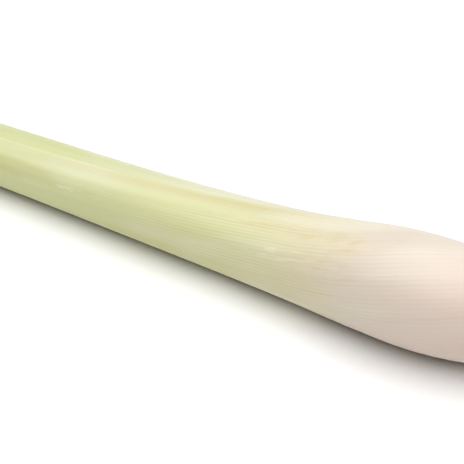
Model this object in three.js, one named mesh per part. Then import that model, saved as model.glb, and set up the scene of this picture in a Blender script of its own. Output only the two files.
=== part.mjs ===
// A trimmed lemongrass stalk, lying on its side: leaf sheaths rolled round each other on a root plate.
// Millimetres, +Z up. The bulb is towards +X, and the stalk rests on the plane Z = 0.
import * as THREE from "three";
import { mergeVertices } from "three/addons/utils/BufferGeometryUtils.js";

// The stalk as a whole. A station is a distance from the root end, along X.
const LENGTH = 210;
const BULB_STATION = 32; // where the bulb is widest
const GIRTH = [
  // station, radius
  [0, 7.3],
  [14, 9.2],
  [BULB_STATION, 10.5],
  [58, 8.1],
  [84, 7.0],
  [134, 5.8],
  [LENGTH, 4.7],
];
const HEIGHT_SHARE = 0.97; // the section is a little lower than it is wide
const PRESSED_FLAT = 0.25; // how far the underside is flattened where it rests
const ARCH = 0.5; // most clearance under the stem, halfway between the bulb and the top end
const HOOK_SLOPE = 0.27; // the root end turns sideways by this slope
const HOOK_STATIONS = [8, 45]; // the turn is complete at the first and starts at the second

// The sheaths. Angles are in degrees round the stalk, from straight up and turning towards -Y.
const CLEARANCE = 0.25; // between one sheath and the next
const FREE_EDGE = [
  // station, angle of the outer sheath's free edge, which the veins run along
  [0, -125],
  [28, -69],
  [44, -41],
  [64, -22],
  [84, -6],
  [104, 5],
  [140, 12],
  [LENGTH, 16],
];
const SLIT_WIDTHS = { root: 6, neck: 54, stem: 32 }; // degrees that each stretch adds to the slit
const SLIT_STATIONS = { neck: [28, 62], stem: [60, 120] };
const SLIT_SHRINK = 0.9; // each sheath's slit over the one outside it
const EDGE_SHARE = 0.4; // thickness at a sheath's free edge over its full thickness
const EDGE_TAPER = 50; // degrees over which a sheath thins towards its free edge
const FIRST_FOOT = 4.6; // station where the outer sheath leaves the root plate
const FOOT_STEP = 1.9; // each next sheath starts this much higher
const TOP_STEP = 0.25; // and stands this much further out of the top cut
const SECTIONS = 22; // along each leaf
const ROOTWARD = 1.6; // over 1, sections lie closer together towards the root
const RIM_SECTIONS = 2; // along the root plate's side
const SAME_POINT = 1e-5; // points closer than this are one

const SHEATHS = [
  // wallShare: the full thickness over the stalk's radius
  { name: "outer_leaf_sheath", wallShare: 0.12, around: 30, colour: 0xdcdcae },
  { name: "second_leaf_sheath", wallShare: 0.11, around: 26, colour: 0xdfe1b4 },
  { name: "third_leaf_sheath", wallShare: 0.1, around: 24, colour: 0xe6e6c2 },
  { name: "fourth_leaf_sheath", wallShare: 0.09, around: 20, colour: 0xecebcf },
  { name: "fifth_leaf_sheath", wallShare: 0.085, around: 18, colour: 0xefeed8 },
];
const HEART = { name: "heart_leaf", around: 14, colour: 0xe3e6b0 };
const ROOT_PLATE = { name: "root_plate", around: 28, colour: 0xd9c6a6 };
const SKIN = { roughness: 0.45, metalness: 0 };

const { clamp, degToRad, euclideanModulo, lerp, radToDeg, smoothstep } = THREE.MathUtils;

// A smooth curve through the values of a list of [station, value].
function curveThrough(list) {
  const stations = list.map(([station]) => station);
  const values = list.map(([, value]) => value);
  const curve = new THREE.CubicInterpolant(stations, values, 1);
  return (station) => curve.evaluate(station)[0];
}

const girth = curveThrough(GIRTH);
const freeEdge = curveThrough(FREE_EDGE);

// The middle of the stalk at a station, and the level direction across it.
function spine(station) {
  const [end, start] = HOOK_STATIONS;
  const span = start - end;
  const turn = clamp((start - station) / span, 0, 1);
  const slope = HOOK_SLOPE * smoothstep(turn, 0, 1);
  const sideways = HOOK_SLOPE * (span * (turn ** 3 - turn ** 4 / 2) + Math.max(end - station, 0));
  const stretch = clamp((station - BULB_STATION) / (LENGTH - BULB_STATION), 0, 1);
  const lift = ARCH * Math.sin(Math.PI * stretch) ** 2;
  const height = HEIGHT_SHARE * girth(Math.max(station, BULB_STATION)) + lift - PRESSED_FLAT;
  return {
    middle: new THREE.Vector3(-station, sideways, height),
    across: new THREE.Vector3(-slope, 1, 0).normalize(),
  };
}

// The point at a station, an angle and a radius, kept from passing through the plane it rests on.
function place(station, degrees, radius) {
  const { middle, across } = spine(station);
  const angle = degToRad(degrees);
  const point = middle.addScaledVector(across, -radius * Math.sin(angle));
  point.z = Math.max(point.z + HEIGHT_SHARE * radius * Math.cos(angle), 0);
  return point;
}

function slitWidth(layer, station) {
  const neck = SLIT_WIDTHS.neck * smoothstep(station, ...SLIT_STATIONS.neck);
  const stem = SLIT_WIDTHS.stem * smoothstep(station, ...SLIT_STATIONS.stem);
  return SLIT_WIDTHS.root + (neck + stem) * SLIT_SHRINK ** layer;
}

// Each slit is on the opposite side of the stalk from the one outside it.
function slitMiddle(layer, station) {
  return freeEdge(station) - slitWidth(0, station) / 2 + 180 * layer;
}

// Full thickness on the body of a sheath, thinning towards its free edges.
function thickness(layer, station, degrees) {
  const fromSlit = degrees - slitMiddle(layer, station);
  const fromMiddle = Math.abs(euclideanModulo(fromSlit + 180, 360) - 180);
  const fromEdge = fromMiddle - slitWidth(layer, station) / 2;
  const share = lerp(EDGE_SHARE, 1, smoothstep(fromEdge, 0, EDGE_TAPER));
  return SHEATHS[layer].wallShare * girth(station) * share;
}

// The outside of a layer: each lies against the inside of the one round it, and fills out its slit.
function layerRadius(layer, station, degrees) {
  let radius = girth(station);
  for (let outer = 0; outer < layer; outer += 1) {
    radius -= thickness(outer, station, degrees) + CLEARANCE;
  }
  return radius;
}

function footStation(layer) {
  return FIRST_FOOT + FOOT_STEP * layer;
}

// A share of the way up a layer, from its foot on the root plate to its cut top.
function layerStation(layer, share) {
  return lerp(footStation(layer), LENGTH + TOP_STEP * layer, share ** ROOTWARD);
}

// A closed shape whose points are moved onto the stalk by a function of their own coordinates.
function rolled(shape, name, colour, onto) {
  shape.deleteAttribute("normal");
  shape.deleteAttribute("uv");
  const geometry = mergeVertices(shape, SAME_POINT);
  const points = geometry.getAttribute("position");
  for (let i = 0; i < points.count; i += 1) {
    const { x, y, z } = onto(points.getX(i), points.getY(i), points.getZ(i));
    points.setXYZ(i, x, y, z);
  }
  geometry.computeVertexNormals();
  const mesh = new THREE.Mesh(geometry, new THREE.MeshStandardMaterial({ color: colour, ...SKIN }));
  mesh.name = name;
  return mesh;
}

// A sheath is a flat strip, rolled up: X goes round the stalk, Y through the wall and Z along it.
function sheath({ name, around, colour }, layer) {
  const strip = new THREE.BoxGeometry(1, 1, 1, around, 1, SECTIONS).translate(0.5, 0.5, 0.5);
  return rolled(strip, name, colour, (round, depth, length) => {
    const station = layerStation(layer, length);
    const half = slitWidth(layer, station) / 2;
    const degrees = slitMiddle(layer, station) + lerp(half, 360 - half, round);
    const wall = thickness(layer, station, degrees);
    return place(station, degrees, layerRadius(layer, station, degrees) - wall * (1 - depth));
  });
}

// The radius that is left inside the full walls of the outermost sheaths.
function radiusInside(sheaths, station) {
  const walls = SHEATHS.slice(0, sheaths).reduce((sum, { wallShare }) => sum + wallShare, 0);
  return girth(station) * (1 - walls) - CLEARANCE * sheaths;
}

// A turned shape, with Y along the stalk.
function turned(shape, { name, colour }, stationOf, radiusOf) {
  return rolled(shape, name, colour, (x, length, z) => {
    const station = stationOf(length);
    return place(station, radToDeg(Math.atan2(z, x)), radiusOf(Math.hypot(x, z), station));
  });
}

// The heart is the youngest leaves, still rolled tight, so it is a solid rod.
function heart() {
  const inside = SHEATHS.length;
  const rod = new THREE.CylinderGeometry(1, 1, 1, HEART.around, SECTIONS).translate(0, 0.5, 0);
  return turned(
    rod,
    HEART,
    (share) => layerStation(inside, share),
    (radius, station) => radius * radiusInside(inside, station),
  );
}

// The root plate is the short solid stem that the leaves grow from, with one step for each sheath.
function rootPlate() {
  const rim = footStation(0) - CLEARANCE;
  const profile = [new THREE.Vector2(0, 0)];
  for (let i = 0; i <= RIM_SECTIONS; i += 1) {
    const station = (rim * i) / RIM_SECTIONS;
    profile.push(new THREE.Vector2(girth(station), station));
  }
  SHEATHS.forEach((_, layer) => {
    const radius = radiusInside(layer + 1, footStation(layer));
    profile.push(new THREE.Vector2(radius, footStation(layer) - CLEARANCE));
    profile.push(new THREE.Vector2(radius, footStation(layer + 1) - CLEARANCE));
  });
  profile.push(new THREE.Vector2(0, footStation(SHEATHS.length) - CLEARANCE));
  return turned(
    new THREE.LatheGeometry(profile, ROOT_PLATE.around),
    ROOT_PLATE,
    (station) => station,
    (radius) => radius,
  );
}

const stalk = new THREE.Group();
stalk.add(rootPlate(), ...SHEATHS.map(sheath), heart());

// The origin is the middle of the footprint, on the plane that the stalk rests on.
const box = new THREE.Box3().setFromObject(stalk);
const middle = box.getCenter(new THREE.Vector3());
stalk.position.set(-middle.x, -middle.y, -box.min.z);

const part = new THREE.Group();
part.add(stalk);
export default part;
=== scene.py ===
"""A trimmed lemongrass stalk: leaf sheaths rolled round each other on a root plate, with its stage.

Each leaf is a flat strip with a wall, rolled round the stalk. Lengths are in millimetres until a mesh or
a material is made. A station is a distance from the root end, along -X. Angles are in degrees from
straight up, turning towards -Y.
"""

import bmesh
import bpy
import numpy as np
from bpy.props import FloatProperty, FloatVectorProperty, IntProperty, PointerProperty
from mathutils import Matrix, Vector


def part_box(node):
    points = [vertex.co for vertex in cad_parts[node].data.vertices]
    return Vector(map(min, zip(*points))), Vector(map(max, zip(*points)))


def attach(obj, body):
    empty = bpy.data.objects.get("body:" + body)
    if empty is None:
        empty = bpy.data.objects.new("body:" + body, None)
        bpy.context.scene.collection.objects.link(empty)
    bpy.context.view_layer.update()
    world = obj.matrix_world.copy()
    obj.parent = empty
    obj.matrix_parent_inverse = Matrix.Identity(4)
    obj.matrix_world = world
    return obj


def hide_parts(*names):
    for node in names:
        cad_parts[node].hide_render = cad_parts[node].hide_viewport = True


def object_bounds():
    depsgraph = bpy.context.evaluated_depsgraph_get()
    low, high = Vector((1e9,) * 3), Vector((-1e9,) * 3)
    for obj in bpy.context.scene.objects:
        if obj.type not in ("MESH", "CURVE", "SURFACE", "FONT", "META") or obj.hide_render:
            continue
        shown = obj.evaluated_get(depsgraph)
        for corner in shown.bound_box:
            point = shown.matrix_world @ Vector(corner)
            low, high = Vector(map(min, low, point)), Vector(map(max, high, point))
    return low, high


bl_info = {
    "name": "Lemongrass stalk",
    "version": (1, 0, 0),
    "blender": (4, 5, 0),
    "location": "View3D > Sidebar > Lemongrass",
    "description": "Builds a trimmed lemongrass stalk leaf by leaf, with its stage",
    "category": "Add Mesh",
}

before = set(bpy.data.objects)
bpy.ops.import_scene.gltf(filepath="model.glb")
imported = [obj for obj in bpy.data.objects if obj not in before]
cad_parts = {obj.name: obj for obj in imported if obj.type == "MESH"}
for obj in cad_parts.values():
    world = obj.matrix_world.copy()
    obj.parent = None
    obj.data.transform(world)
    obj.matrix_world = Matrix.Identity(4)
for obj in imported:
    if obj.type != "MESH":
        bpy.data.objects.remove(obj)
CAD_BOX = [list(corner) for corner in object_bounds()]

MM = 0.001

# The stalk as a whole
LENGTH = 210.0
BULB_STATION = 32.0  # where the bulb is widest
GIRTH = [
    # station, radius
    (0, 7.3),
    (14, 9.2),
    (BULB_STATION, 10.5),
    (58, 8.1),
    (84, 7.0),
    (134, 5.8),
    (LENGTH, 4.7),
]
HEIGHT_SHARE = 0.97  # the section is a little lower than it is wide
PRESSED_FLAT = 0.25  # how far the underside is flattened where it rests
ARCH = 0.5  # most clearance under the stem, halfway between the bulb and the top end
HOOK_SLOPE = 0.27  # the root end turns sideways by this slope
HOOK_END, HOOK_START = 8.0, 45.0  # the turn is complete at the first and starts at the second

# The sheaths
FREE_EDGE = [
    # station, angle of the outer sheath's free edge, which the veins run along
    (0, -125),
    (28, -69),
    (44, -41),
    (64, -22),
    (84, -6),
    (104, 5),
    (140, 12),
    (LENGTH, 16),
]
ROOT_SLIT, NECK_SLIT, STEM_SLIT = 1.0, 54.0, 32.0  # degrees that each stretch adds to the slit
NECK_STATIONS = (28.0, 62.0)
STEM_STATIONS = (60.0, 120.0)
SLIT_SHRINK = 0.9  # each sheath's slit over the one outside it
WALL_SHARES = [0.12, 0.11, 0.1, 0.09, 0.085]  # full thickness over the stalk's radius
CLEARANCE = 0.06  # between one sheath and the next
EDGE_SHARE = 0.2  # thickness at a sheath's free edge over its full thickness
EDGE_TAPER = 50.0  # degrees over which a sheath thins towards its free edge
FIRST_FOOT = 4.45  # station where the outer sheath leaves the root plate
FOOT_STEP = 1.9  # each next sheath starts this much higher
TOP_STEP = 0.25  # and stands this much further out of the top cut
ROOTWARD = 1.25  # over 1, a leaf's rows lie closer together towards the root
SHOULDER_HEIGHT = 0.55  # a low rise at the neck, with its middle and its reach each way
SHOULDER_STATION, SHOULDER_REACH = 54.0, 38.0
SHOULDER_DEGREES, SHOULDER_SPREAD = -52.0, 80.0
SLIT_BULGE = 0.04  # how far the inner leaves swell into the slit, over the stalk's radius
BULGE_DEGREES = (2, 14)  # from the slit's edge, where the swelling starts and is complete
MARGIN_WAVES = [
    # degrees that the free edge strays, millimetres to a radian, phase
    (0.5, 6.3, 0.0),
    (0.4, 2.9, 1.0),
]
SQUEEZE_START = 0.45  # share of the way round from which a sheath's rows close up to leave the slit
MARGIN_REACH = 0.02  # share of the way round that strays with the free edge
RIDGES = [
    # share of the height, ridges round, phase, millimetres to a radian
    (0.5, 5, 1.1, 46),
    (0.3, 11, 4.0, -31),
    (0.2, 19, 2.3, 57),
]
HEART_TURNS = 2.75
# The heart's outer margin, its full wall and the gap between its turns, over its radius
HEART_MARGIN, HEART_WALL, HEART_GAP = 0.05, 0.296, 0.03
SHARP_DEGREES = 50  # edges that turn more than this are sharp

# The root plate
SPIN_STEPS = 168
FACE_RADII = np.linspace(0, 0.96, 22)  # rings of the cut face, over its radius
RIM_START, RIM_ROWS = 0.25, 18
FACE_DISH, DISH_RADIUS, DISH_RIPPLE = 0.12, 3.4, 2.2  # depth, where it is deepest, radians to a millimetre
SCAR_SPACING = 0.95
STUB_SPACING, STUB_SHIFT = 19, 6  # degrees
STUB_STATIONS = (1.3, 3.3)
STUB_REACH, PIT_REACH, PIT_SHARE = 0.85, 0.4, 0.7  # each stub has a pit in its middle
RIM_RADIUS = 0.9  # the rim is outside this, over the stalk's radius
SAME_POINT = 1e-4  # vertices closer than this are one
ON_FACE = 1e-6  # stations under this are on the cut face
STUB_SEED = 4

# The stage
FLOOR_DROP = 0.03  # keeps the floor from showing through the underside
KEY_AZIMUTH, KEY_ELEVATION, KEY_DISTANCE = 180, 86, 0.6  # degrees and metres
SENSOR_WIDTH = 36
VIEW_MIDDLE = (-70, 0.04, 8)  # what the camera looks at, from the root end on the plane of rest

# Colour and grain
SKIN_STOPS = [
    # share of the way up the leaf, colour
    (0.0, "root"),
    (0.045, "base"),
    (0.13, "bulb"),
    (0.2, "neck"),
    (0.25, "collar"),
    (0.335, "stem"),
    (0.46, "green"),
    (0.62, "green"),
    (1.0, "top"),
]
STREAK_SHIFT, CLOUD_SHIFT = 14, 16  # how far those colours stray up and down the leaf
ROUND_MM = 50.0  # a usual distance round the stalk
# Noises drawn out along a leaf: stretch, depth, scale, detail and roughness
FIBRES = (30.0, 0.0, 1.6, 3.0, 0.6)
STREAKS = (14.0, 3.0, 0.4, 3.0, 0.6)
CLOUDS = (2.5, 7.0, 0.12, 2.0, 0.5)
FLECKS = (5.0, 11.0, 1.3, 4.0, 0.65)
VEIN_WANDER, VEIN_TREMBLE = 1.114, 0.318  # in veins
# Bands: the middle and the reach each way, of the stations or of the share round
NECK_BLOOM = (66, 44)
CLEAR_VEINS = (66, 46)
# The tan free edge: a dried margin, partly painted shade below the raised edge.
DRIED_AND_SHADED_MARGIN, DRIED_AND_SHADED_STATIONS = (0.03, 0.03), (84, 40)
# The pale free edge, partly a painted highlight along the raised edge.
PALE_RIM_AND_HIGHLIGHT = (0.004, 0.014)
BULB_STATIONS = (62, 34)  # where the stem ends and where the bulb is full
# Painted shade on the outer sheath's underside near the floor: the height where it starts, the height where
# it is full, and how much higher it starts on the bulb.
UNDERSIDE_SHADE_START, UNDERSIDE_SHADE_FULL, BULB_UNDERSIDE_SHADE = 1.9, 0.4, 1.4  # heights over the floor
STAINS = [
    # share round and station of the middle, reach each way, strength
    (0.15, 50.0, 0.07, 12.0, 0.42),
    (0.24, 49.0, 0.05, 9.0, 0.35),
    (0.1, 63.0, 0.035, 16.0, 0.36),
    (0.7, 70.0, 0.04, 12.0, 0.5),
    (0.62, 34.0, 0.06, 8.0, 0.5),
    (0.82, 128.0, 0.03, 16.0, 0.5),
    (0.3, 168.0, 0.03, 14.0, 0.5),
]
OLIVE = [
    (0.13, 116.0, 0.06, 13.0, 0.36),
    (0.413, 62.6, 0.02, 7.0, 0.4),
    (0.3, 88.0, 0.04, 20.0, 0.25),
    (0.5, 160.0, 0.12, 50.0, 0.4),
]
# Pale waxy bloom; the patch on the bulb's upper side is a painted highlight.
BLOOM_AND_HIGHLIGHT = [
    (0.045, 50.0, 0.06, 17.0, 0.36),
    (0.05, 102.0, 0.06, 42.0, 0.08),
    # Painted highlight on the bulb's upper side.
    (0.21, 27.0, 0.1, 17.0, 0.16),
    (0.4, 60.0, 0.03, 17.0, 0.35),
    (0.33, 104.0, 0.025, 22.0, 0.25),
]
RUBS = [
    (0.2, 57.0, 0.035, 9.0, 0.35),
    (0.153, 102.0, 0.02, 9.0, 0.35),
    (0.6, 92.0, 0.04, 16.0, 0.3),
    (0.2, 150.0, 0.03, 16.0, 0.3),
]
WAXY = {
    "Subsurface Weight": 0.12,
    "Subsurface Radius": (1.0, 0.9, 0.5),
    "Subsurface Scale": 1.2 * MM,
    "Coat Weight": 0.08,
    "Coat Roughness": 0.4,
}
WET = {"Subsurface Weight": 0.1}
SKIN_GRAIN, CUT_GRAIN, ROOT_CUT_GRAIN, BARK_GRAIN = 0.02 * MM, 0.06 * MM, 0.08 * MM, 0.12 * MM
LEAF_PORES, INNER_PORES, HEART_PORES, ROOT_PORES = 0.5, 0.45, 0.4, 0.8
ROOT_RINGS, RING_DRIFT = 1.15, 2.228  # spacing, and how many rings they drift by
ROOT_SKIN = (4.2, 7.2)  # radii between which the cut root turns to skin


# Shape ------------------------------------------------------------------------------------------


def through(table, station):
    """The smooth curve through a table of stations and values, level at both ends."""
    stations, values = np.array(table, float).T
    slopes = np.zeros_like(values)
    secants = np.diff(values) / np.diff(stations)
    slopes[1:-1] = (secants[:-1] + secants[1:]) / 2
    left = np.clip(np.searchsorted(stations, station, side="right") - 1, 0, len(stations) - 2)
    gap = stations[left + 1] - stations[left]
    t = np.clip((station - stations[left]) / gap, 0, 1)
    return (
        (2 * t**3 - 3 * t**2 + 1) * values[left]
        + (t**3 - 2 * t**2 + t) * gap * slopes[left]
        + (3 * t**2 - 2 * t**3) * values[left + 1]
        + (t**3 - t**2) * gap * slopes[left + 1]
    )


def ease(value, start, end):
    """0 up to start, 1 from end on, and smooth between them."""
    t = np.clip((value - start) / (end - start), 0, 1)
    return t * t * (3 - 2 * t)


def swell(value, centre, reach):
    """1 at the centre, falling smoothly to 0 at its reach on both sides."""
    return ease(np.abs(value - centre), reach, 0)


def girth(station):
    return through(GIRTH, station)


def spine(station):
    """The middle of the stalk at each station, and the level direction across it."""
    span = HOOK_START - HOOK_END
    turn = np.clip((HOOK_START - station) / span, 0, 1)
    slope = HOOK_SLOPE * ease(turn, 0, 1)
    sideways = HOOK_SLOPE * (span * (turn**3 - turn**4 / 2) + np.maximum(HOOK_END - station, 0))
    stretch = np.clip((station - BULB_STATION) / (LENGTH - BULB_STATION), 0, 1)
    lift = ARCH * np.sin(np.pi * stretch) ** 2
    height = HEIGHT_SHARE * girth(np.maximum(station, BULB_STATION)) + lift - PRESSED_FLAT
    middle = np.stack([-station, sideways, height], axis=-1)
    across = np.stack([-slope, np.ones_like(slope), np.zeros_like(slope)], axis=-1)
    return middle, across / np.linalg.norm(across, axis=-1, keepdims=True)


def frame_offset():
    """From the plane of rest at station 0 to the frame's origin, found from both ends of the stalk."""
    top = LENGTH + TOP_STEP * len(WALL_SHARES)
    root_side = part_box("root_plate")[1].y / MM
    middle, across = spine(np.zeros(1))
    return np.array([CAD_BOX[0][0] / MM + top, root_side - middle[0, 1] - GIRTH[0][1] * across[0, 1], 0])


OFFSET = frame_offset()


def place(station, degrees, radius):
    """Points on the stalk, kept from passing through the plane it rests on."""
    middle, across = spine(station)
    angle = np.radians(degrees)
    points = middle - across * (radius * np.sin(angle))[:, None]
    points[:, 2] = np.maximum(points[:, 2] + HEIGHT_SHARE * radius * np.cos(angle), 0)
    return points + OFFSET


def slit_width(layer, station):
    neck = NECK_SLIT * ease(station, *NECK_STATIONS)
    stem = STEM_SLIT * ease(station, *STEM_STATIONS)
    return ROOT_SLIT + (neck + stem) * SLIT_SHRINK**layer


def slit_end(layer, station):
    """Where a slit ends and its sheath begins. Each slit is opposite the one outside it."""
    middle = through(FREE_EDGE, station) - slit_width(0, station) / 2 + 180 * layer
    return middle + slit_width(layer, station) / 2


def from_edge(layer, station, degrees):
    """Degrees from the nearer free edge of a sheath, below 0 inside its slit."""
    half = slit_width(layer, station) / 2
    turned = (degrees - slit_end(layer, station) + half + 180) % 360 - 180
    return np.abs(turned) - half


def thickness(layer, station, degrees):
    """Full thickness on the body of a sheath, thinning to a fine margin at its free edges."""
    body = ease(from_edge(layer, station, degrees), 0, EDGE_TAPER)
    return WALL_SHARES[layer] * girth(station) * (EDGE_SHARE + (1 - EDGE_SHARE) * body)


def shoulder(station, degrees):
    """A low rise on the far side of the neck, where the leaves part from the bulb."""
    turned = (degrees - SHOULDER_DEGREES + 180) % 360 - 180
    along = swell(station, SHOULDER_STATION, SHOULDER_REACH)
    return SHOULDER_HEIGHT * along * swell(turned, 0, SHOULDER_SPREAD)


def layer_radius(layer, station, degrees):
    """The outside of a layer: each lies inside the one round it, and fills out that one's slit."""
    radius = girth(station) + shoulder(station, degrees)
    for outer in range(layer):
        radius = radius - thickness(outer, station, degrees) - CLEARANCE
    if layer:
        radius = radius + SLIT_BULGE * girth(station) * ease(-from_edge(0, station, degrees), *BULGE_DEGREES)
    return radius


def foot_station(layer):
    return FIRST_FOOT + FOOT_STEP * layer


def layer_station(layer, share):
    """A share of the way up a layer, from its foot on the root plate to its cut top."""
    foot = foot_station(layer)
    return foot + (LENGTH + TOP_STEP * layer - foot) * share**ROOTWARD


# Meshes -----------------------------------------------------------------------------------------


def strip(across, along):
    """A flat strip with a wall: X goes round the stalk, Y along it and Z out through the wall.

    Each goes from 0 to 1. The cut at the top end has the second material.
    """
    bm = bmesh.new()
    bmesh.ops.create_grid(bm, x_segments=across, y_segments=along, size=0.5)
    wall = bmesh.ops.extrude_face_region(bm, geom=bm.faces[:])
    inside = [item for item in wall["geom"] if isinstance(item, bmesh.types.BMVert)]
    bmesh.ops.translate(bm, verts=inside, vec=(0, 0, -1))
    bmesh.ops.translate(bm, verts=bm.verts[:], vec=(0.5, 0.5, 1))
    bmesh.ops.recalc_face_normals(bm, faces=bm.faces[:])
    for face in bm.faces:
        face.material_index = int(face.normal.y > 0.5)
    return bm


def made_mesh(name, bm, points_of, uv_of=None):
    """Writes a bmesh as a mesh in the frame, with its vertices moved by points_of, in millimetres."""
    mesh = bpy.data.meshes.new(name)
    bm.to_mesh(mesh)
    bm.free()
    plain = np.zeros(len(mesh.vertices) * 3, np.float32)
    mesh.vertices.foreach_get("co", plain)
    plain = plain.reshape(-1, 3).astype(float)
    mesh.vertices.foreach_set("co", (points_of(plain) * MM).astype(np.float32).ravel())
    if uv_of is not None:
        corners = np.zeros(len(mesh.loops), np.int32)
        mesh.loops.foreach_get("vertex_index", corners)
        layer = mesh.uv_layers.new(name="leaf")
        layer.uv.foreach_set("vector", uv_of(plain)[corners].astype(np.float32).ravel())
    mesh.shade_smooth()
    mesh.set_sharp_from_angle(angle=np.radians(SHARP_DEGREES))
    mesh.update()
    return mesh


def finish_piece(mesh, node, materials):
    """Shows a mesh in place of a CAD node, riding on the stalk's one body."""
    piece = bpy.data.objects.new(mesh.name, mesh)
    bpy.context.scene.collection.objects.link(piece)
    for material in materials:
        mesh.materials.append(material)
    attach(piece, "root")
    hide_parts(node)
    return piece


def ridges(share, station):
    """Low, broad ridges that run up a leaf and wander a little, from -1 to 1."""
    turn = 2 * np.pi * share
    return sum(
        height * np.sin(count * turn + phase + station / length) for height, count, phase, length in RIDGES
    )


def leaf_uv(layer, shares):
    """A leaf's UV map: the share of the way round it, and its station over the stalk's length."""
    return np.stack([shares[:, 0], layer_station(layer, shares[:, 1]) / LENGTH], axis=-1)


def sheath_mesh(name, layer, across, along, shape, relief=1.0):
    """A leaf sheath: relief is how much of the full veins and ridges stands out on it."""

    def rolled(shares):
        share, depth = shares[:, 0], shares[:, 2]
        station = layer_station(layer, shares[:, 1])
        scale = girth(station) / girth(BULB_STATION)
        squeezed = slit_width(layer, station) * ease(share, SQUEEZE_START, 1)
        waver = sum(turn * np.sin(station / length + phase) for turn, length, phase in MARGIN_WAVES)
        degrees = slit_end(layer, station) + 360 * share - squeezed
        degrees = degrees + waver * swell(share, 0, MARGIN_REACH)
        groove = 0.5 - 0.5 * np.cos(2 * np.pi * shape.veins * share)
        rise = (
            shape.ridge_height * ridges(share, station)
            - shape.vein_depth * scale * groove
            + shape.margin_height * swell(share, shape.margin_width / 2, shape.margin_width)
        )
        wall = thickness(layer, station, degrees) * (1 - depth)
        outside = layer_radius(layer, station, degrees)
        return place(station, degrees, outside - wall + relief * depth * rise / MM)

    return made_mesh(name, strip(across, along), rolled, lambda shares: leaf_uv(layer, shares))


def heart_mesh(name, across, along):
    """The youngest leaves, still rolled tight: one strip wound inwards to the middle."""
    inside = len(WALL_SHARES)

    def rolled(shares):
        station = layer_station(inside, shares[:, 1])
        degrees = slit_end(inside, station) + 360 * HEART_TURNS * shares[:, 0]
        outer = layer_radius(inside, station, degrees)
        turns = HEART_TURNS * shares[:, 0]
        first, later = np.minimum(turns, 1), np.maximum(turns - 1, 0)
        outside = 1 - (HEART_MARGIN + HEART_GAP) * first - (HEART_WALL + HEART_GAP) * later
        wall = HEART_MARGIN + (HEART_WALL - HEART_MARGIN) * first
        return place(station, degrees, outer * (outside - wall * (1 - shares[:, 2])))

    return made_mesh(name, strip(across, along), rolled, lambda shares: leaf_uv(inside, shares))


def inside_radius(sheaths, station):
    """The radius that is left inside the full walls of the outermost sheaths."""
    return girth(station) * (1 - sum(WALL_SHARES[:sheaths])) - CLEARANCE * sheaths


def root_profile():
    """Half of the root plate's outline, as radius and station: cut face, rim and a step for each sheath."""
    rim = foot_station(0) - CLEARANCE
    face = [(share * GIRTH[0][1], 0.0) for share in FACE_RADII]
    edge = [(float(girth(station)), station) for station in np.linspace(RIM_START, rim, RIM_ROWS)]
    steps = []
    for layer in range(len(WALL_SHARES)):
        radius = float(inside_radius(layer + 1, foot_station(layer)))
        steps.append((radius, foot_station(layer) - CLEARANCE))
        steps.append((radius, foot_station(layer + 1) - CLEARANCE))
    top = foot_station(len(WALL_SHARES)) - CLEARANCE
    return face + edge + steps + [(0.0, top)]


def root_mesh(name, shape):
    """The short solid stem that the leaves grow from, spun, with ring scars and root stubs.

    Its cut face has the second material.
    """
    bm = bmesh.new()
    profile = [bm.verts.new((radius, 0, station)) for radius, station in root_profile()]
    edges = [bm.edges.new(pair) for pair in zip(profile, profile[1:])]
    bmesh.ops.spin(
        bm,
        geom=profile + edges,
        cent=(0, 0, 0),
        axis=(0, 0, 1),
        angle=2 * np.pi,
        steps=SPIN_STEPS,
        use_merge=True,
    )
    bmesh.ops.remove_doubles(bm, verts=bm.verts[:], dist=SAME_POINT)
    bmesh.ops.recalc_face_normals(bm, faces=bm.faces[:])
    for face in bm.faces:
        face.material_index = int(max(vert.co.z for vert in face.verts) < ON_FACE)
    rng = np.random.default_rng(STUB_SEED)
    stubs = [
        (angle + rng.uniform(-STUB_SHIFT, STUB_SHIFT), rng.uniform(*STUB_STATIONS))
        for angle in np.arange(0, 360, STUB_SPACING)
    ]

    def weathered(plain):
        radius = np.hypot(plain[:, 0], plain[:, 1])
        degrees = np.degrees(np.arctan2(plain[:, 0], plain[:, 1]))
        station = plain[:, 2]
        on_face = station < ON_FACE
        on_rim = ~on_face & (station < foot_station(0)) & (radius > RIM_RADIUS * girth(station))
        scar = 0.5 - 0.5 * np.cos(2 * np.pi * station / SCAR_SPACING)
        rise = -shape.scar_depth / MM * scar * on_rim
        for angle, height in stubs:
            turned = (degrees - angle + 180) % 360 - 180
            away = np.hypot(np.radians(turned) * radius, station - height)
            stub = swell(away, 0, STUB_REACH) - PIT_SHARE * swell(away, 0, PIT_REACH)
            rise = rise + shape.stub_height / MM * stub * on_rim
        dish = FACE_DISH * np.sin(radius * DISH_RIPPLE) * swell(radius, DISH_RADIUS, DISH_RADIUS)
        return place(station + np.abs(dish) * on_face, degrees, radius + rise)

    return made_mesh(name, bm, weathered)


# Materials --------------------------------------------------------------------------------------


def colour(code):
    """A display colour such as 0xDCDCAE as linear red, green and blue."""
    shown = np.array([code >> 16 & 255, code >> 8 & 255, code & 255]) / 255
    return tuple(np.where(shown <= 0.04045, shown / 12.92, ((shown + 0.055) / 1.055) ** 2.4))


class Field:
    """What varies over a surface. It takes part in sums as a number does, and each sum adds a Math node."""

    def __init__(self, finish, socket):
        self.finish = finish
        self.socket = socket

    def sum(self, operation, *terms):
        return self.finish.node("Math", {"operation": operation}, dict(enumerate(terms)))

    def __add__(self, other):
        return self.sum("ADD", self, other)

    def __sub__(self, other):
        return self.sum("SUBTRACT", self, other)

    def __rsub__(self, other):
        return self.sum("SUBTRACT", other, self)

    def __mul__(self, other):
        return self.sum("MULTIPLY", self, other)

    def __truediv__(self, other):
        return self.sum("DIVIDE", self, other)

    def __pow__(self, other):
        return self.sum("POWER", self, other)

    def __abs__(self):
        return self.sum("ABSOLUTE", self)

    __radd__ = __add__
    __rmul__ = __mul__


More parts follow.
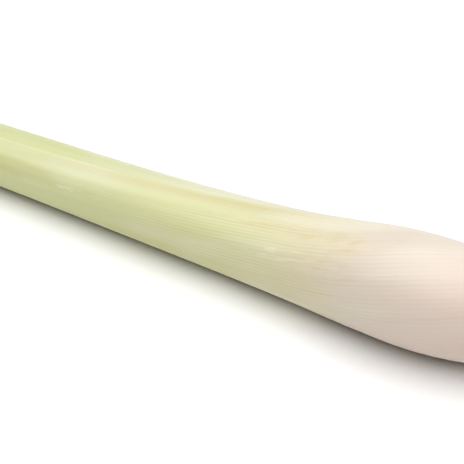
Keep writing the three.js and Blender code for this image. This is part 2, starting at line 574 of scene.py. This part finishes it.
class Finish:
    """A tree of nodes, for a material or the world."""

    def __init__(self, owner):
        self.owner = owner
        owner.use_nodes = True
        self.tree = owner.node_tree
        self.tree.nodes.clear()

    def node(self, kind, settings=None, values=None, output=0):
        """Adds a node: its settings come first, then the values or links of its sockets."""
        made = self.tree.nodes.new("ShaderNode" + kind)
        for name, value in (settings or {}).items():
            if name == "stops":
                self.set_stops(made.color_ramp, value)
            else:
                setattr(made, name, value)
        for key, value in (values or {}).items():
            if isinstance(value, Field):
                self.tree.links.new(value.socket, made.inputs[key])
            else:
                made.inputs[key].default_value = value
        return Field(self, made.outputs[output]) if made.outputs else None

    @staticmethod
    def set_stops(ramp, stops):
        while len(ramp.elements) < len(stops):
            ramp.elements.new(1)
        for element, (position, shade) in zip(ramp.elements, stops):
            element.position = position
            element.color = (*shade, 1)

    def smooth(self, value, start, end):
        """0 up to start, 1 from end on, and smooth between them."""
        settings = {"interpolation_type": "SMOOTHSTEP"}
        return self.node("MapRange", settings, {"Value": value, "From Min": start, "From Max": end})

    def band(self, value, centre, reach):
        """1 at the centre, falling smoothly to 0 at its reach on both sides."""
        return self.smooth(abs(value - centre), reach, 0.0)

    def wave(self, turns):
        """A wave between -1 and 1 that is at 1 on every whole turn."""
        return self.node("Math", {"operation": "COSINE"}, {0: turns * (2 * np.pi)})

    def mix(self, share, first, second):
        """From the first colour to the second by a share."""
        sides = {0: share, 6: self.opaque(first), 7: self.opaque(second)}
        return self.node("Mix", {"data_type": "RGBA"}, sides, output=2)

    @staticmethod
    def opaque(shade):
        return shade if isinstance(shade, Field) else (*shade, 1)

    def scaled(self, shade, amount):
        """A colour times a number."""
        return self.node("VectorMath", {"operation": "SCALE"}, {"Vector": shade, "Scale": amount})

    def place(self):
        """The place on the object, in metres."""
        return self.node("TexCoord", output=3)

    def part(self, vector, axis):
        """One number of a vector: 0, 1 or 2."""
        return self.node("SeparateXYZ", {}, {"Vector": vector}, output=axis)

    def noise(self, where, scale, detail=2.0, roughness=0.5):
        """Soft noise round 0.5."""
        values = {"Vector": where, "Scale": scale, "Detail": detail, "Roughness": roughness}
        return self.node("TexNoise", {}, values)

    def grain(self, where, millimetres, detail=2.0, roughness=0.5):
        """Noise of a size in millimetres."""
        return self.noise(where, 1 / (millimetres * MM), detail, roughness)

    def dots(self, where, spacing, edge, core):
        """1 on scattered dots: edge and core are where they fade out and fill in, over their spacing."""
        cells = self.node("TexVoronoi", {"feature": "F1"}, {"Vector": where, "Scale": 1 / (spacing * MM)})
        return self.smooth(cells, edge, core)

    def surface(self, base, roughness, height, depth, constants):
        """Ends the material with a Principled shader. Depth is the bump's, in metres."""
        bump = self.node("Bump", {}, {"Strength": 1.0, "Distance": depth, "Height": height})
        values = {"Base Color": base, "Roughness": roughness, "Normal": bump, **constants}
        self.node("OutputMaterial", {}, {"Surface": self.node("BsdfPrincipled", {}, values)})
        return self.owner


class Leaf:
    """A leaf's material in the making: its share round from the free edge, its station and its grain."""

    def __init__(self, name):
        self.finish = Finish(bpy.data.materials.new(name))
        uv = self.finish.node("UVMap", {"uv_map": "leaf"})
        self.share = self.finish.part(uv, 0)
        self.station = self.finish.part(uv, 1) * LENGTH
        self.fibres = self.drawn_out(*FIBRES)
        self.streaks = self.drawn_out(*STREAKS)
        self.clouds = self.drawn_out(*CLOUDS)

    def drawn_out(self, stretch, depth, scale, detail, roughness):
        """Noise that is drawn out along the fibres by a stretch."""
        where = {"X": self.share * ROUND_MM, "Y": self.station / stretch, "Z": depth}
        return self.finish.noise(self.finish.node("CombineXYZ", {}, where), scale, detail, roughness)


def leaf_skin(name, colours, shape, paleness=0.0, shade=0.9, bloom=0.0, marks=False):
    """Waxy leaf skin: green up the stem, cream on the neck and pinkish on the bulb, with veins."""
    leaf = Leaf(name)
    finish, share, station = leaf.finish, leaf.share, leaf.station
    fibres, streaks, clouds = leaf.fibres, leaf.streaks, leaf.clouds
    shifted = station + (streaks - 0.5) * STREAK_SHIFT + (clouds - 0.5) * CLOUD_SHIFT
    stops = [(position, getattr(colours, named)) for position, named in SKIN_STOPS]
    skin = finish.node("ValToRGB", {"stops": stops}, {"Fac": shifted / LENGTH})
    skin = finish.mix(finish.smooth(clouds, 0.45, 0.75) * 0.3, skin, colours.wax_and_highlight)
    skin = finish.mix(finish.band(station, *NECK_BLOOM) * bloom, skin, colours.wax_and_highlight)
    skin = finish.scaled(skin, shade + (fibres - 0.5) * 0.05 + (streaks - 0.5) * 0.05)
    wander = (streaks + clouds - 1) * VEIN_WANDER + (fibres - 0.5) * VEIN_TREMBLE
    groove = 0.5 - finish.wave(share * shape.veins + wander) * 0.5
    clear = finish.band(station, *CLEAR_VEINS) * 0.75 + 0.25
    line = groove**2.0 * clear * finish.smooth(streaks, 0.25, 0.6)
    skin = finish.scaled(skin, 1 - line * (0.015 + 0.11 * finish.smooth(fibres, 0.3, 0.7)))
    if marks:
        skin = sheath_marks(leaf, skin, colours)
    skin = finish.mix(paleness, skin, colours.flesh)
    roughness = 0.46 + (streaks - 0.5) * 0.2 + line * 0.05
    height = fibres * 0.6 + streaks * 0.4
    return finish.surface(skin, roughness, height, SKIN_GRAIN, WAXY)


def sheath_marks(leaf, skin, colours):
    """The outer sheath's marks: a dried margin that is partly painted shade below its raised edge, flecked
    stains, rubs, bloom with a painted highlight on the bulb, a pale rim that is partly a painted highlight,
    and painted shade on the underside near the floor.
    """
    finish, share, station = leaf.finish, leaf.share, leaf.station
    # Tan along the free edge: a dried margin, partly painted shade below the raised edge.
    dried_and_shaded = finish.band(share, *DRIED_AND_SHADED_MARGIN) * finish.band(station, *DRIED_AND_SHADED_STATIONS)
    skin = finish.mix(dried_and_shaded * (0.1 + leaf.streaks * 0.7), skin, colours.dried_and_shaded)
    flecks = finish.smooth(leaf.drawn_out(*FLECKS), 0.48, 0.64)
    for marks, shade, spread in (
        (OLIVE, colours.olive, 0.2 + leaf.fibres * 1.5),
        (BLOOM_AND_HIGHLIGHT, colours.wax_and_highlight, 1.0),
        (STAINS, colours.dried_and_shaded, flecks),
        (RUBS, colours.wax_and_highlight, flecks),
    ):
        for middle_share, middle_station, reach, half_length, strength in marks:
            across = (share - middle_share) / reach
            along = (station - middle_station) / half_length
            mark = finish.smooth(across * across + along * along, 1.0, 0.0)
            skin = finish.mix(mark * spread * strength, skin, shade)
    # Painted shade: the underside near the floor turns dark brown, starting higher up on the bulb.
    above_floor = finish.part(finish.place(), 2)
    underside_shade_start = (UNDERSIDE_SHADE_START + finish.smooth(station, *BULB_STATIONS) * BULB_UNDERSIDE_SHADE) * MM
    skin = finish.mix(finish.smooth(above_floor, underside_shade_start, UNDERSIDE_SHADE_FULL * MM), skin, colours.underside_shade)
    # Pale band on the free edge: partly the pale margin, partly a painted highlight along the raised edge.
    return finish.mix(finish.band(share, *PALE_RIM_AND_HIGHLIGHT) * 0.08, skin, colours.wax_and_highlight)


def cut_flesh(name, shade, fibre, spacing):
    """A clean knife cut across a leaf: pale wet flesh with the dots of its cut fibres."""
    finish = Finish(bpy.data.materials.new(name))
    where = finish.place()
    dots = finish.dots(where, spacing, 0.34, 0.12)
    grain = finish.grain(where, 0.35, 3.0)
    base = finish.scaled(finish.mix(dots * 0.75, shade, fibre), 0.92 + grain * 0.16)
    return finish.surface(base, 0.36 + grain * 0.2, grain * 0.5 - dots * 0.6, CUT_GRAIN, WET)


def root_cut(name, colours):
    """The root plate's cut face: pale stem with faint rings and the dots of its fibres."""
    finish = Finish(bpy.data.materials.new(name))
    where = finish.place()
    middle = (spine(np.zeros(1))[0][0] + OFFSET) * MM
    away = finish.node("VectorMath", {"operation": "DISTANCE"}, {0: where, 1: tuple(middle)}, output=1)
    grain = finish.grain(where, 0.5, 4.0, 0.6)
    drift = finish.grain(where, 2.5)
    rings = finish.wave(away / (ROOT_RINGS * MM) + drift * RING_DRIFT - 0.25)
    dots = finish.dots(where, ROOT_PORES, 0.3, 0.12) * finish.smooth(drift, 0.35, 0.6)
    skinward = finish.smooth(away, ROOT_SKIN[0] * MM, ROOT_SKIN[1] * MM)
    base = finish.mix(skinward * 0.5 + drift * 0.3, colours.collar, colours.root)
    base = finish.mix(dots * 0.45, base, colours.bark)
    base = finish.scaled(base, 1 + rings * 0.02 + (grain - 0.5) * 0.14)
    height = grain * 0.5 + rings * 0.35 - dots * 0.5
    return finish.surface(base, 0.42 + grain * 0.25, height, ROOT_CUT_GRAIN, WET)


def root_bark(name, colours):
    """The root plate's side: tan and fibrous, darker in its ring scars."""
    finish = Finish(bpy.data.materials.new(name))
    where = finish.place()
    patches = finish.grain(where, 2.6, 4.0, 0.6)
    grain = finish.grain(where, 0.4, 3.0, 0.6)
    station = (OFFSET[0] * MM - finish.part(where, 0)) / MM
    scars = finish.smooth(finish.wave(station / SCAR_SPACING), 0.2, 1.0) * (0.3 + patches)
    base = finish.mix(finish.smooth(patches, 0.4, 0.75) * 0.8, colours.root, colours.bark)
    base = finish.mix(scars * 0.5, base, colours.bark)
    base = finish.scaled(base, 0.88 + (grain - 0.5) * 0.25)
    return finish.surface(base, 0.62 + grain * 0.2, grain + patches, BARK_GRAIN, {})


# Settings ---------------------------------------------------------------------------------------


def length_setting(name, description, millimetres):
    default = millimetres * MM
    return FloatProperty(name=name, description=description, default=default, unit="LENGTH", precision=6)


def angle_setting(name, description, degrees):
    return FloatProperty(name=name, description=description, default=np.radians(degrees), unit="ROTATION")


def colour_setting(name, description, code):
    return FloatVectorProperty(
        name=name, description=description, default=colour(code), subtype="COLOR", min=0, max=1
    )


class ReliefSettings(bpy.types.PropertyGroup):
    veins: IntProperty(name="Veins", description="Veins round one leaf", default=75, min=20, max=120)
    vein_depth: length_setting("Vein depth", "Depth of the grooves between the veins, at the bulb", 0.022)
    ridge_height: length_setting("Ridge height", "How far the broad ridges stand out", 0.07)
    margin_height: length_setting("Margin height", "How far the free edge stands out", 0.06)
    margin_width: FloatProperty(
        name="Margin width", description="Width of the raised free edge, as a share round", default=0.02
    )
    scar_depth: length_setting("Scar depth", "Depth of the ring scars on the root plate", 0.16)
    stub_height: length_setting("Stub height", "How far the root stubs stand out", 0.3)


class ColourSettings(bpy.types.PropertyGroup):
    top: colour_setting("Top", "Skin at the top cut", 0xC3CF86)
    green: colour_setting("Green", "Skin up the stem", 0xD9DCAC)
    stem: colour_setting("Stem", "Skin low on the stem", 0xDDDCAF)
    collar: colour_setting("Collar", "Skin where the green ends", 0xE1D9BA)
    neck: colour_setting("Neck", "Skin above the bulb", 0xE4D9CA)
    bulb: colour_setting("Bulb", "Skin on the bulb", 0xE5D6CB)
    base: colour_setting("Base", "Skin under the bulb", 0xE2CDBB)
    root: colour_setting("Root", "Skin at the root plate", 0xD2BE9C)
    bark: colour_setting("Bark", "Dark patches on the root plate", 0xB4966E)
    # Used for the stains and for the tan margin, which is partly painted shade.
    dried_and_shaded: colour_setting("Dried", "Dried margins and stains", 0xD1BD96)
    olive: colour_setting("Olive", "Olive stains on the green skin", 0xC4C184)
    # Painted shade for the outer sheath's underside near the floor.
    underside_shade: colour_setting("Underside shade", "Underside, where it has lain", 0x7E6A36)
    # Also the painted highlights on the rim and on the bulb's upper side.
    wax_and_highlight: colour_setting("Wax", "Pale waxy bloom", 0xEFECDD)
    flesh: colour_setting("Flesh", "Pale inner skin", 0xECEACB)
    cut: colour_setting("Cut", "Flesh at the cut ends", 0xE9EAC4)
    fibre: colour_setting("Fibre", "Cut fibres", 0xC2C88C)


class StageSettings(bpy.types.PropertyGroup):
    floor_size: FloatProperty(name="Floor size", description="Width of the floor", default=6, unit="LENGTH")
    floor_shade: colour_setting("Floor", "Shade of the floor", 0xF5F5F5)
    sky: FloatProperty(name="Sky", description="Strength of the light from all round", default=0.43)
    key_strength: FloatProperty(name="Key light", description="Strength of the overhead light", default=2.78)
    key_spread: angle_setting("Key spread", "Angle that the overhead light fills", 85)
    gamma: FloatProperty(name="Gamma", description="Gamma, lower for more contrast", default=0.82)
    lens: FloatProperty(name="Lens", description="Focal length", default=100, unit="CAMERA")
    azimuth: angle_setting("Azimuth", "Angle round the stalk that it is seen from", 27.3)
    elevation: angle_setting("Elevation", "Height that it is seen from", 45)
    distance: length_setting("Distance", "How far off the camera is", 240)


# Operators --------------------------------------------------------------------------------------


class LEMONGRASS_OT_outer_sheath(bpy.types.Operator):
    """Add the outer leaf sheath, with its veins, raised margin and marks"""

    bl_idname = "lemongrass.outer_sheath"
    bl_label = "Outer sheath"

    def execute(self, context):
        shape, colours = context.scene.stalk_relief, context.scene.stalk_colours
        mesh = sheath_mesh("outer_sheath_skin", 0, across=300, along=150, shape=shape)
        skin = leaf_skin("outer_leaf_skin", colours, shape, marks=True)
        cut = cut_flesh("outer_leaf_cut", colours.cut, colours.fibre, LEAF_PORES)
        finish_piece(mesh, "outer_leaf_sheath", [skin, cut])
        return {"FINISHED"}


class LEMONGRASS_OT_second_sheath(bpy.types.Operator):
    """Add the second leaf sheath, which shows in the outer one's slit"""

    bl_idname = "lemongrass.second_sheath"
    bl_label = "Second sheath"

    def execute(self, context):
        shape, colours = context.scene.stalk_relief, context.scene.stalk_colours
        mesh = sheath_mesh("second_sheath_skin", 1, across=300, along=100, shape=shape, relief=0.4)
        skin = leaf_skin("second_leaf_skin", colours, shape, shade=0.86, bloom=0.65)
        cut = cut_flesh("second_leaf_cut", colours.cut, colours.fibre, LEAF_PORES)
        finish_piece(mesh, "second_leaf_sheath", [skin, cut])
        return {"FINISHED"}


class LEMONGRASS_OT_inner_sheaths(bpy.types.Operator):
    """Add the three inner leaf sheaths, which show at the top cut"""

    bl_idname = "lemongrass.inner_sheaths"
    bl_label = "Inner sheaths"

    def execute(self, context):
        shape, colours = context.scene.stalk_relief, context.scene.stalk_colours
        skin = leaf_skin("inner_leaf_skin", colours, shape, paleness=0.5)
        cut = cut_flesh("inner_leaf_cut", colours.flesh, colours.fibre, INNER_PORES)
        for layer, name in enumerate(("third", "fourth", "fifth"), start=2):
            mesh = sheath_mesh(f"{name}_sheath_skin", layer, across=150, along=70, shape=shape, relief=0.3)
            finish_piece(mesh, f"{name}_leaf_sheath", [skin, cut])
        return {"FINISHED"}


class LEMONGRASS_OT_heart_leaf(bpy.types.Operator):
    """Add the heart: the youngest leaves, still rolled tight"""

    bl_idname = "lemongrass.heart_leaf"
    bl_label = "Heart leaf"

    def execute(self, context):
        shape, colours = context.scene.stalk_relief, context.scene.stalk_colours
        skin = leaf_skin("heart_leaf_skin", colours, shape, paleness=0.6)
        cut = cut_flesh("heart_leaf_cut", colours.flesh, colours.fibre, HEART_PORES)
        mesh = heart_mesh("heart_leaf_roll", across=220, along=60)
        finish_piece(mesh, "heart_leaf", [skin, cut])
        return {"FINISHED"}


class LEMONGRASS_OT_root_plate(bpy.types.Operator):
    """Add the root plate, with its ring scars, root stubs and cut face"""

    bl_idname = "lemongrass.root_plate"
    bl_label = "Root plate"

    def execute(self, context):
        shape, colours = context.scene.stalk_relief, context.scene.stalk_colours
        bark = root_bark("root_plate_bark", colours)
        cut = root_cut("root_plate_cut", colours)
        finish_piece(root_mesh("root_plate_stub", shape), "root_plate", [bark, cut])
        return {"FINISHED"}


class LEMONGRASS_OT_stage(bpy.types.Operator):
    """Add the pale floor, the soft light and the camera"""

    bl_idname = "lemongrass.stage"
    bl_label = "Stage"

    def execute(self, context):
        stage, scene = context.scene.stalk_stage, context.scene
        scene.view_settings.view_transform = "Standard"
        scene.view_settings.gamma = stage.gamma
        add_floor(stage)
        add_light(stage)
        add_camera(stage)
        return {"FINISHED"}


def add_floor(stage):
    bm = bmesh.new()
    bmesh.ops.create_grid(bm, x_segments=1, y_segments=1, size=stage.floor_size / 2)
    bmesh.ops.translate(bm, verts=bm.verts[:], vec=(0, 0, -FLOOR_DROP * MM))
    mesh = bpy.data.meshes.new("floor")
    bm.to_mesh(mesh)
    bm.free()
    finish = Finish(bpy.data.materials.new("floor_paint"))
    paint = {"Base Color": (*stage.floor_shade, 1), "Roughness": 0.9}
    finish.node("OutputMaterial", {}, {"Surface": finish.node("BsdfPrincipled", {}, paint)})
    mesh.materials.append(finish.owner)
    floor = bpy.data.objects.new("floor", mesh)
    bpy.context.scene.collection.objects.link(floor)


def add_light(stage):
    """Even light from all round, and a very broad overhead light that leans in from behind."""
    sky = Finish(bpy.data.worlds.new("soft_white"))
    seen = sky.node("LightPath")
    strength = sky.node("MapRange", {}, {"Value": seen, "To Min": stage.sky, "To Max": 1.0})
    background = sky.node("Background", {}, {"Color": (1, 1, 1, 1), "Strength": strength})
    sky.node("OutputWorld", {}, {"Surface": background})
    bpy.context.scene.world = sky.owner
    light = bpy.data.lights.new("key_light", "SUN")
    light.energy = stage.key_strength
    light.angle = stage.key_spread
    key = bpy.data.objects.new("key_light", light)
    aim_at(key, Vector((0, 0, 0)), np.radians(KEY_AZIMUTH), np.radians(KEY_ELEVATION), KEY_DISTANCE)
    bpy.context.scene.collection.objects.link(key)


def add_camera(stage):
    lens = bpy.data.cameras.new("camera")
    lens.lens = stage.lens
    lens.sensor_width = SENSOR_WIDTH
    camera = bpy.data.objects.new("camera", lens)
    target = Vector((OFFSET + VIEW_MIDDLE) * MM)
    aim_at(camera, target, stage.azimuth, stage.elevation, stage.distance)
    bpy.context.scene.collection.objects.link(camera)
    bpy.context.scene.camera = camera


def aim_at(thing, target, azimuth, elevation, distance):
    """Turns a lamp or camera towards a target. Azimuth 0 looks along +Y, and elevation is above the level."""
    across, rise = np.cos(elevation), np.sin(elevation)
    back = Vector((np.sin(azimuth) * across, -np.cos(azimuth) * across, rise))
    thing.location = target + back * distance
    thing.rotation_mode = "QUATERNION"
    thing.rotation_quaternion = (-back).to_track_quat("-Z", "Y")


class LEMONGRASS_PT_panel(bpy.types.Panel):
    """The stalk's pieces, in the order they are added"""

    bl_label = "Lemongrass stalk"
    bl_idname = "LEMONGRASS_PT_panel"
    bl_space_type = "VIEW_3D"
    bl_region_type = "UI"
    bl_category = "Lemongrass"

    def draw(self, context):
        for group in SETTINGS:
            settings = getattr(context.scene, group)
            column = self.layout.column()
            for name in settings.__annotations__:
                column.prop(settings, name)
        for piece in OPERATORS:
            self.layout.operator(piece.bl_idname)


OPERATORS = (
    LEMONGRASS_OT_root_plate,
    LEMONGRASS_OT_heart_leaf,
    LEMONGRASS_OT_inner_sheaths,
    LEMONGRASS_OT_second_sheath,
    LEMONGRASS_OT_outer_sheath,
    LEMONGRASS_OT_stage,
)
SETTINGS = {"stalk_relief": ReliefSettings, "stalk_colours": ColourSettings, "stalk_stage": StageSettings}
CLASSES = (*SETTINGS.values(), *OPERATORS, LEMONGRASS_PT_panel)


def register():
    for made in CLASSES:
        bpy.utils.register_class(made)
    for name, group in SETTINGS.items():
        setattr(bpy.types.Scene, name, PointerProperty(type=group))


def unregister():
    for name in SETTINGS:
        delattr(bpy.types.Scene, name)
    for made in reversed(CLASSES):
        bpy.utils.unregister_class(made)


def main():
    register()
    bpy.ops.lemongrass.root_plate()
    bpy.ops.lemongrass.heart_leaf()
    bpy.ops.lemongrass.inner_sheaths()
    bpy.ops.lemongrass.second_sheath()
    bpy.ops.lemongrass.outer_sheath()
    bpy.ops.lemongrass.stage()


if __name__ == "__main__":
    main()
